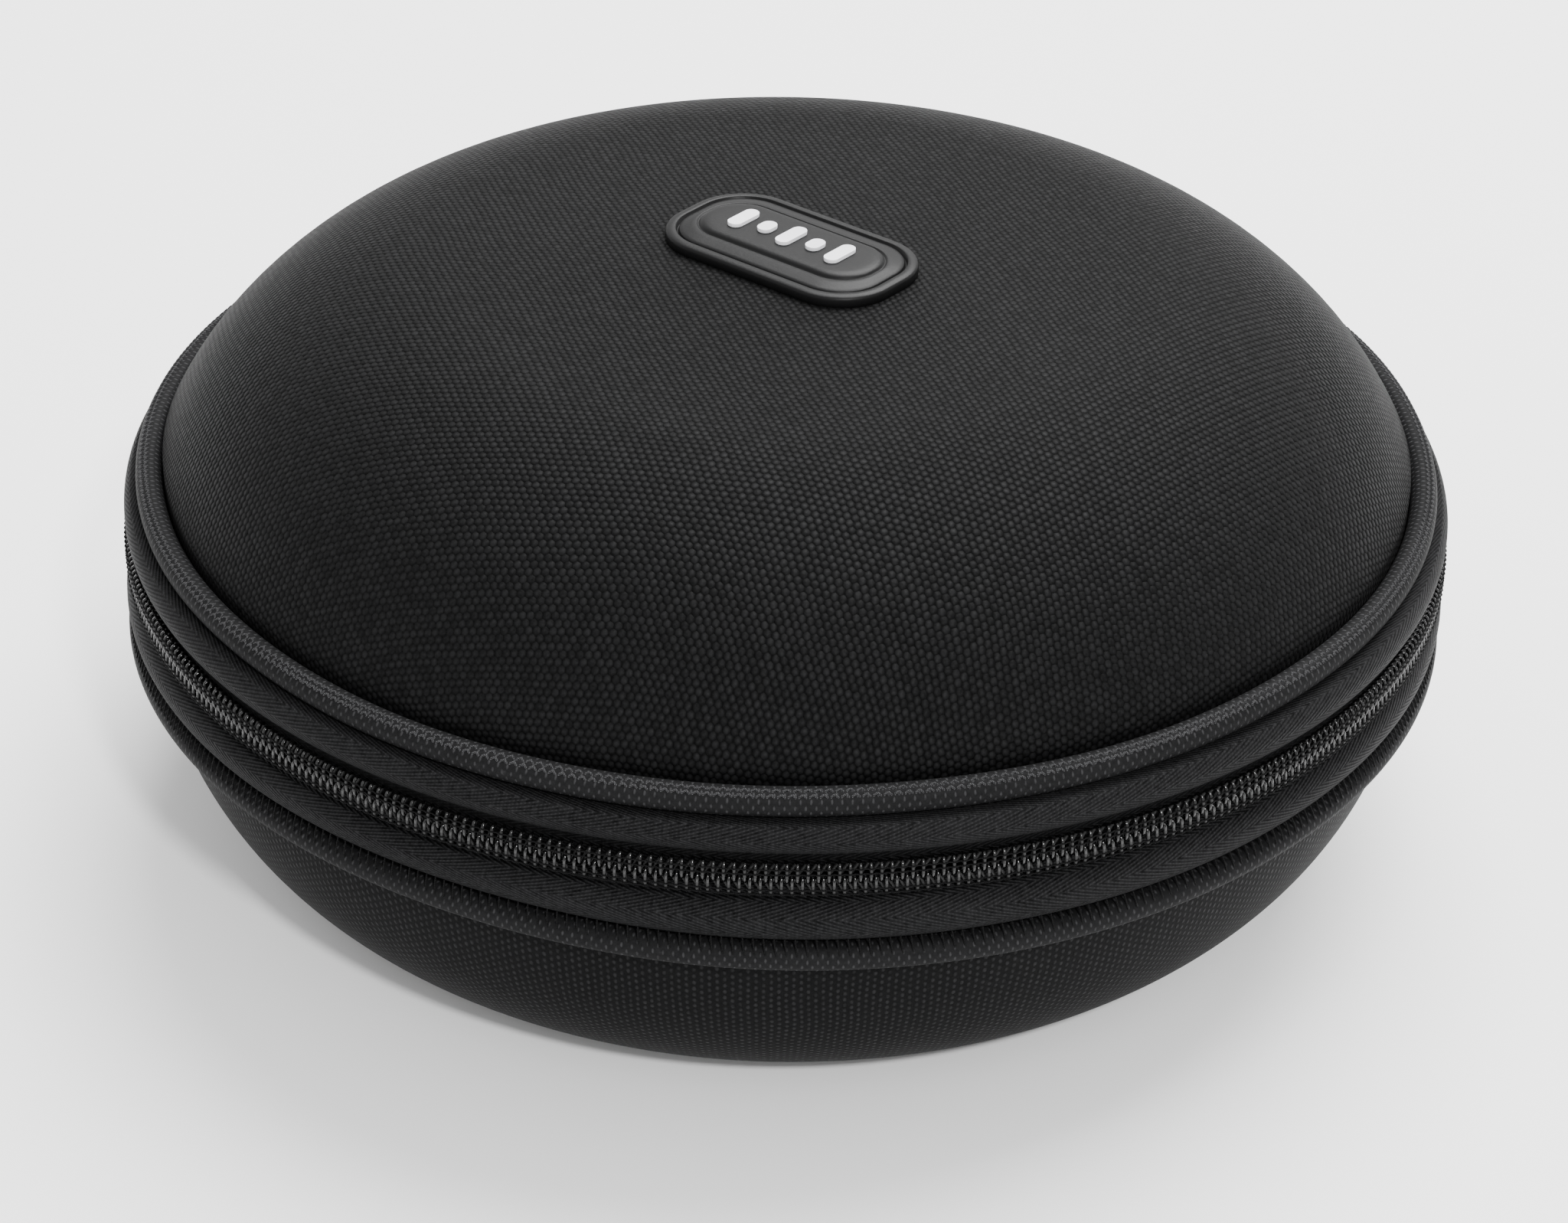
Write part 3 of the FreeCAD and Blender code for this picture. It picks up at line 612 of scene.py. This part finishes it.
# One turn of the coil: (distance from the zip plane, radius, share of the pitch).
TURN_POINTS = (
    (2.5, 109.5, 0.0), (1.75, 109.76, 0.0), (0.8, 109.76, 0.0), (0.0, 109.62, 0.0), (-0.46, 109.05, 0.02),
    (0.0, 108.46, 0.08), (1.0, 108.22, 0.4), (2.0, 108.22, 0.8), (2.55, 108.42, 0.95), (2.76, 108.95, 1.0))
TURN_SAMPLES = 18
FILAMENT = (0.27, 0.31)                 # radius of the coil's filament, and where it is pressed into a head
SEWING_ROWS = (1.35, 2.15)              # distances from the zip plane of the rows that sew each coil down
SEWING_RADIUS = 0.13


def tube_points(path, radius, sides=6):
    """Rings of points along a thread, and its cloth coordinates."""
    path = np.asarray(path, float)
    along = np.gradient(path, axis=0)
    along /= np.linalg.norm(along, axis=1, keepdims=True)
    out = path * (1, 1, 0) + (0, 0, 1e-6)
    side = np.cross(along, out / np.linalg.norm(out, axis=1, keepdims=True))
    side /= np.maximum(np.linalg.norm(side, axis=1, keepdims=True), 1e-9)
    other = np.cross(side, along)
    a = np.arange(sides) / sides * TAU
    ring = side[:, None] * np.cos(a)[None, :, None] + other[:, None] * np.sin(a)[None, :, None]
    points = path[:, None] + ring * np.asarray(radius, float).reshape(-1, 1, 1)
    run = np.concatenate([[0], np.cumsum(np.linalg.norm(np.diff(path, axis=0), axis=1))])
    run = np.append(run, run[-1] + (run[-1] - run[-2]))
    cloth = np.stack([np.broadcast_to(np.arange(sides + 1) / sides * 2.0, (len(run), sides + 1)),
                      np.broadcast_to(run[:, None], (len(run), sides + 1))], -1)
    return points, cloth


def tube(name, path, radius, sides=6):
    points, cloth = tube_points(path, radius, sides)
    return grid_mesh(name, points, cloth, close_columns=True)


def around(degrees, radius, height):
    a = np.radians(degrees)
    return np.stack([radius * np.cos(a), radius * np.sin(a), height], -1)


def smooth_turn():
    """Even samples along one turn of the coil as a closed Catmull-Rom curve, with the pitch unwrapped."""
    knots = np.array(TURN_POINTS)
    line = np.vstack([knots[-1] - (0, 0, 1), knots, knots[:2] + (0, 0, 1)])
    result = []
    for x in np.arange(TURN_SAMPLES) / TURN_SAMPLES * len(knots):
        i, f = int(x), x - int(x)
        p0, p1, p2, p3 = line[i:i + 4]
        result.append(0.5 * ((2 * p1) + (p2 - p0) * f + (2 * p0 - 5 * p1 + 4 * p2 - p3) * f * f
                             + (3 * p1 - p0 - 3 * p2 + p3) * f ** 3))
    return np.array(result)


def coil(side):
    """One half of the zip's coil, and the two rows of thread that sew it down and dip between its turns."""
    one = smooth_turn()
    step = math.degrees(PITCH / COIL_RADIUS)
    turns = int(2 * COIL_HALF / step) - 1
    shift = 0.0 if side == "lid" else 0.5
    number = np.repeat(np.arange(turns), TURN_SAMPLES)
    rise, radius, share = (np.tile(one[:, k], turns) for k in range(3))
    angle = -90 - COIL_HALF + (number + share + shift) * step
    path = around(angle, radius, ZIP + UP[side] * rise)
    obj = tube(side + "_coil_filament", path, np.where(rise < 0.1, FILAMENT[1], FILAMENT[0]))
    finish_piece(obj, side, COIL, (side + "_zip_coil",))
    number = np.arange(turns * 6) / 6
    angle = -90 - COIL_HALF + (number + shift) * step
    for row, rise in enumerate(SEWING_ROWS):
        radius = 109.98 + 0.12 * np.cos(number * TAU) - row * 0.06
        path = around(angle, radius, np.full(len(angle), ZIP + UP[side] * rise))
        thread = tube("%s_coil_thread_%d" % (side, row), path, SEWING_RADIUS, 5)
        finish_piece(thread, side, THREAD)


for side in ("lid", "base"):
    coil(side)


# ---------------------------------------------------------------- rim bindings and their stitches

# Inner and outer radius, far edge and seam; the last two are distances from the zip plane.
BINDINGS = {"lid": (96.65, 102.1, 11.75, 8.35), "base": (99.6, 104.8, 16.7, 11.15)}
BINDING_THICK = 0.65


def thread_mesh(name, threads, body, material):
    """One mesh of many like threads, each a result of tube_points. The first one's cloth serves them all."""
    quads, corners = grid(*threads[0], close_columns=True)
    first = np.arange(len(threads)) * len(threads[0][0].reshape(-1, 3))
    quads = (quads[None] + first[:, None, None]).reshape(-1, 4)
    points = np.concatenate([points for points, _ in threads])
    obj = cloth_mesh(name, points, quads, np.tile(corners, (len(threads), 1, 1)))
    return finish_piece(obj, body, material)


def stitches(name, body, radius, height):
    """A ring of separate lockstitches, each a short thread whose ends dip into the cloth."""
    pitch, length, thick, dip = 3.2, 2.3, 0.24, 0.16
    count = int(TAU * radius / pitch)
    spread = np.linspace(-1, 1, 9)
    lift = dip * (1 - np.abs(spread) ** 3) * 1.6 - dip
    slant = spread * 0.12
    taper = thick * np.sqrt(np.clip(1.06 - spread ** 4, 0.05, 1))
    threads = []
    for k in range(count):
        angle = math.degrees((k + 0.5) / count * TAU) + spread * math.degrees(length / 2 / radius)
        threads.append(tube_points(around(angle, radius - lift, height + slant), taper))
    return thread_mesh(name, threads, body, THREAD)


def binding_profile(side):
    inner, outer, top, seam = BINDINGS[side]
    low, skin, edge = seam - BINDING_THICK, inner + BINDING_THICK, outer - 0.05
    return up(side, [(inner + 0.25, low), (outer - 0.3, low), (edge, low + 0.2), (edge, seam - 0.04),
                     (skin + 0.15, seam - 0.02), (skin, seam + 0.15), (skin, top - 0.22),
                     (inner + BINDING_THICK / 2, top), (inner, top - 0.22), (inner, (top + low) / 2),
                     (inner, low + 0.25)])


for side in ("lid", "base"):
    strip = lathe(side + "_rim_binding_cloth", binding_profile(side))
    finish_piece(strip, side, BINDING, (side + "_rim_binding",))
    inner, _, top, _ = BINDINGS[side]
    stitches(side + "_binding_stitches", side, inner, ZIP + UP[side] * (top - 1.1))


def rim_thread(side, r, t, z, thick):
    """A short thread that moves with the wandering rim."""
    r, z = rim_bend(side)(r, t, z)
    return tube_points(np.stack([r * np.cos(t), r * np.sin(t), z], -1), thick)


def seam_threads(name, side, drop):
    """Short threads that cross the groove between the zip tape and the piping, one per stitch of the seam."""
    pitch, thick = 1.52, 0.12
    tape = TAPES[side]
    start, = arc(tape["centre"], tape["bulge"], tape["end"], tape["end"], 1)
    stop, = arc(PIPES[side], PIPE_RADIUS, -drop, -drop, 1)
    span = 360 - 2 * (HINGE + 3)
    count = int(math.radians(span) * PIPES[side][0] / pitch)
    share = np.linspace(0, 1, 8)
    r = start[0] + (stop[0] - start[0]) * share + 0.12 * np.sin(share * math.pi)
    z = ZIP + UP[side] * (start[1] + (stop[1] - start[1]) * share)
    threads = []
    for k in range(count):
        t = np.radians(-90 - span / 2 + (k + 0.5) / count * span + (share - 0.5) * 0.16)
        threads.append(rim_thread(side, r, t, z, thick))
    return thread_mesh(name, threads, side, THREAD)


seam_threads("base_seam_threads", "base", 32)


def piping_floats(name, side, rows):
    """Arched floats of the folded cloth that stand out along the piping's upper edge, like chain links. Their
    pale colour is a painted highlight where the edge catches the light.

    rows are their angles round the piping, in degrees up from its outermost line.
    """
    pitch, length, thick = 1.5, 1.1, 0.2
    cr, cz = PIPES[side]
    count = int(TAU * cr / pitch)
    spread = np.linspace(-1, 1, 9)
    ring = PIPE_RADIUS + 0.02 - 0.16 * spread ** 4
    threads = []
    for row, tilt in enumerate(rows):
        lean = np.radians(tilt + 11 * (1 - spread ** 2))
        r, z = cr + ring * np.cos(lean), ZIP + UP[side] * (cz + ring * np.sin(lean))
        for k in range(count):
            t = np.radians((k + 0.5 * row) / count * 360) + spread * length / 2 / cr
            threads.append(rim_thread(side, r, t, z, thick))
    return thread_mesh(name, threads, side, FLOAT)


piping_floats("lid_piping_floats", "lid", (46, 70))


# ---------------------------------------------------------------- fabric hinge

def hinge(name, points, material, nodes, thick):
    """Strip of cloth across the back, bent between the two halves where the zip would be."""
    outer = np.array(points, float)
    edge = np.gradient(outer, axis=0)
    normal = np.stack([edge[:, 1], -edge[:, 0]], 1)
    normal /= np.linalg.norm(normal, axis=1, keepdims=True)
    profile = np.concatenate([outer, (outer + normal * thick)[::-1]])
    profile[:, 1] += ZIP
    obj = lathe(name, profile, span=2 * (HINGE - 0.02), middle=90.0, steps=96)
    cap_ends(obj, len(profile), len(outer))
    obj.data.materials.append(material)
    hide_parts(*nodes)
    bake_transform(obj)
    return obj


def cap_ends(obj, count, half):
    """Close both ends of a strip with faces between its two skins."""
    with editing(obj) as work:
        work.verts.ensure_lookup_table()
        columns = len(work.verts) // count
        cloth = work.loops.layers.float_vector["cloth"]
        for column in (0, columns - 1):
            for k in range(half - 1):
                corners = (k, k + 1, count - 2 - k, count - 1 - k)
                face = work.faces.new([work.verts[m * columns + column] for m in corners])
                for loop in face.loops:
                    loop[cloth] = Vector((loop.vert.co.x, loop.vert.co.z, 0)) / MM
        bmesh.ops.recalc_face_normals(work, faces=work.faces)
    shade(obj)


def hinge_line():
    """Outer line of the hinge from inside the bowl's seam, over the back, to inside the lid's seam."""
    turn = 1.4
    bottom, top = -11.85, 9.05
    low = [(r, bottom) for r in np.linspace(101.2, 107.6, 5)]
    low += arc((107.6, bottom + turn), turn, -90, 0, 5)[1:]
    high = arc((106.1, top - turn), turn, 0, 90, 5)
    high += [(r, top) for r in np.linspace(105.6, 98.2, 6)[1:]]
    middle = [(109.0 - 1.5 * f ** 0.8 + 0.9 * math.sin(f * math.pi), -9.8 + 16.8 * f)
              for f in np.arange(16) / 15]
    return low + middle + high


def hinge_lining_line():
    """The same for its lining, which runs from binding to binding."""
    return [(103.0 - 0.5 * f + 0.6 * math.sin(f * math.pi), -10.45 + 18.1 * f) for f in np.arange(20) / 19]


hinge("hinge_cloth", hinge_line(), HINGE_CLOTH, ("lid_hinge_panel", "base_hinge_panel"), 0.75)
hinge("hinge_lining_cloth", hinge_lining_line(), LINING,
      ("lid_hinge_lining", "base_hinge_lining"), 0.5)


# ---------------------------------------------------------------- badge

def stadium(length, width, corner):
    """Rounded rectangle, its points spread along the four corners."""
    x, y = length / 2 - corner, width / 2 - corner
    quarter = np.linspace(0, math.pi / 2, 24)
    corners = ((x, y, 0), (-x, y, 1), (-x, -y, 2), (x, -y, 3))
    return np.array([(cx + corner * math.cos(a + k * math.pi / 2),
                      cy + corner * math.sin(a + k * math.pi / 2))
                     for cx, cy, k in corners for a in quarter])


def crown_drop(x, y):
    """How far the dome has fallen below its apex."""
    return CROWN - np.sqrt(CROWN ** 2 - x ** 2 - y ** 2)


def moulding(name, steps, material, nodes):
    """Loft of rounded rectangles: each step is (length, width, corner, height above the apex)."""
    level = 3.2         # height at which the rings no longer follow the dome
    rings = []
    for length, width, corner, height in steps:
        outline = stadium(length, width, corner)
        drop = crown_drop(outline[:, 0], outline[:, 1])
        z = APEX + height - drop * np.clip(1 - height / level, 0, 1)
        rings.append(np.column_stack([outline, z]))
    points = np.array(rings)
    cloth = np.zeros((points.shape[0], points.shape[1] + 1, 2))
    obj = grid_mesh(name, points, cloth, close_columns=True)
    with editing(obj) as work:
        fill_holes(work)
    return finish_piece(shade(obj), "lid", material, nodes)


# From the foot of the base, over its rim, down into the groove and up to the pill and its flat top.
BADGE = (
    (42.8, 23.8, 9.5, -0.25), (43.3, 24.3, 9.75, 0.0), (43.4, 24.4, 9.8, 0.5),
    (43.35, 24.35, 9.78, 1.2), (43.1, 24.1, 9.65, 1.5), (42.6, 23.6, 9.4, 1.66),
    (41.4, 22.4, 8.8, 1.78), (40.2, 21.2, 8.2, 1.8), (39.85, 20.85, 8.05, 1.7),
    (39.75, 20.75, 8.0, 0.95), (39.05, 20.05, 7.7, 0.9), (38.95, 19.95, 7.65, 1.45),
    (38.6, 19.6, 7.45, 1.64), (37.6, 18.6, 7.1, 1.78), (36.2, 15.8, 6.7, 2.08),
    (35.3, 14.3, 6.5, 2.2), (34.95, 13.95, 6.4, 2.15), (34.7, 13.7, 6.3, 1.95),
    (34.3, 13.3, 6.1, 1.95), (34.0, 13.0, 6.0, 2.22), (33.5, 12.5, 5.8, 2.45),
    (32.4, 11.4, 5.3, 2.63), (30.6, 9.6, 4.5, 2.7), (27.6, 7.0, 3.3, 2.7))
moulding("badge_moulding", BADGE, RUBBER, ("badge_base", "badge_pill"))


# ---------------------------------------------------------------- stage, light, camera

def floor_and_light():
    """A pale floor under a large soft key light, and a small light that makes the coil sparkle. In metres."""
    size = 6.0
    mesh = bpy.data.meshes.new("floor")
    corners = [(-size, -size, 0), (size, -size, 0), (size, size, 0), (-size, size, 0)]
    mesh.from_pydata(corners, [], [(0, 1, 2, 3)])
    floor = bpy.data.objects.new("floor", mesh)
    bpy.context.scene.collection.objects.link(floor)
    s = Shader("floor_paper", Roughness=0.9)
    s.finish(s.ramp(s.noise(s.place(), 2.0), (0.3, (0.89, 0.89, 0.89)), (0.7, (0.92, 0.92, 0.92))))
    mesh.materials.append(s.mat)
    world = bpy.data.worlds.new("studio")
    bpy.context.scene.world = world
    world.use_nodes = True
    background = world.node_tree.nodes["Background"].inputs
    background["Color"].default_value = (1, 1, 1, 1)
    background["Strength"].default_value = 1.3

    def area(name, place, target, size, power):
        data = bpy.data.lights.new(name, "AREA")
        data.shape, data.size, data.energy = "DISK", size, power
        light = bpy.data.objects.new(name, data)
        light.location = place
        aim = (Vector(target) - Vector(place)).to_track_quat("-Z", "Y")
        light.rotation_euler = aim.to_euler()
        bpy.context.scene.collection.objects.link(light)

    area("key", (-0.15, 0.7, 1.3), (0, 0, 0.05), 1.3, 66.0)
    area("spark", (0.83, -0.6, 0.9), (0, 0, 0.05), 0.12, 15.0)


def camera():
    """The photo's view, aimed at a point a little below the zip plane."""
    azimuth, elevation, roll = math.radians(38.5), math.radians(31.75), math.radians(1.1)
    distance, sink = 631.9, 22.3
    back = Vector((math.sin(azimuth) * math.cos(elevation), -math.cos(azimuth) * math.cos(elevation),
                   math.sin(elevation)))
    right = Vector((math.cos(azimuth), math.sin(azimuth), 0))
    above = back.cross(right)
    x = right * math.cos(roll) + above * math.sin(roll)
    y = above * math.cos(roll) - right * math.sin(roll)
    place = Vector((0, 0, ZIP - sink)) + back * distance
    data = bpy.data.cameras.new("camera")
    data.lens, data.sensor_width, data.sensor_fit = 84.4, 36.0, "HORIZONTAL"
    data.clip_start, data.clip_end = 0.01, 50
    cam = bpy.data.objects.new("camera", data)
    cam.matrix_world = Matrix(((x.x, y.x, back.x, place.x * MM), (x.y, y.y, back.y, place.y * MM),
                               (x.z, y.z, back.z, place.z * MM), (0, 0, 0, 1)))
    bpy.context.scene.collection.objects.link(cam)
    bpy.context.scene.camera = cam


floor_and_light()
camera()

# ---------------------------------------------------------------- CAD nodes that show as they are

NODE_FINISH = {"shell": FOAM, "zip_stop_left": STOP, "zip_stop_right": STOP, "badge_motif": MARK,
               "slider": ENAMEL, "pull_link": ENAMEL, "pull_grip": GRIP}
ROUNDED = {"zip_stop_left": 0.2, "zip_stop_right": 0.2, "badge_motif": 0.15, "slider": 0.14,
           "pull_link": 0.12, "pull_grip": 0.2}


def round_edges(node, width):
    """Join the faces of a CAD node, whose corners come apart, and bevel its sharp edges."""
    node.modifiers.new("joined_faces", "WELD").merge_threshold = 1e-6
    edge = node.modifiers.new("rounded_edges", "BEVEL")
    edge.width, edge.segments, edge.angle_limit = width * MM, 2, math.radians(40)
    edge.harden_normals = True


for name, node in frame["nodes"].items():
    for ending, material in NODE_FINISH.items():
        if name.endswith(ending):
            node.data.materials.clear()
            node.data.materials.append(material)
            if ending in ROUNDED:
                round_edges(node, ROUNDED[ending])

for obj in bpy.data.objects:
    if obj.type == "MESH" and obj.name not in frame["nodes"] and obj.name != "floor":
        face_outwards(obj)
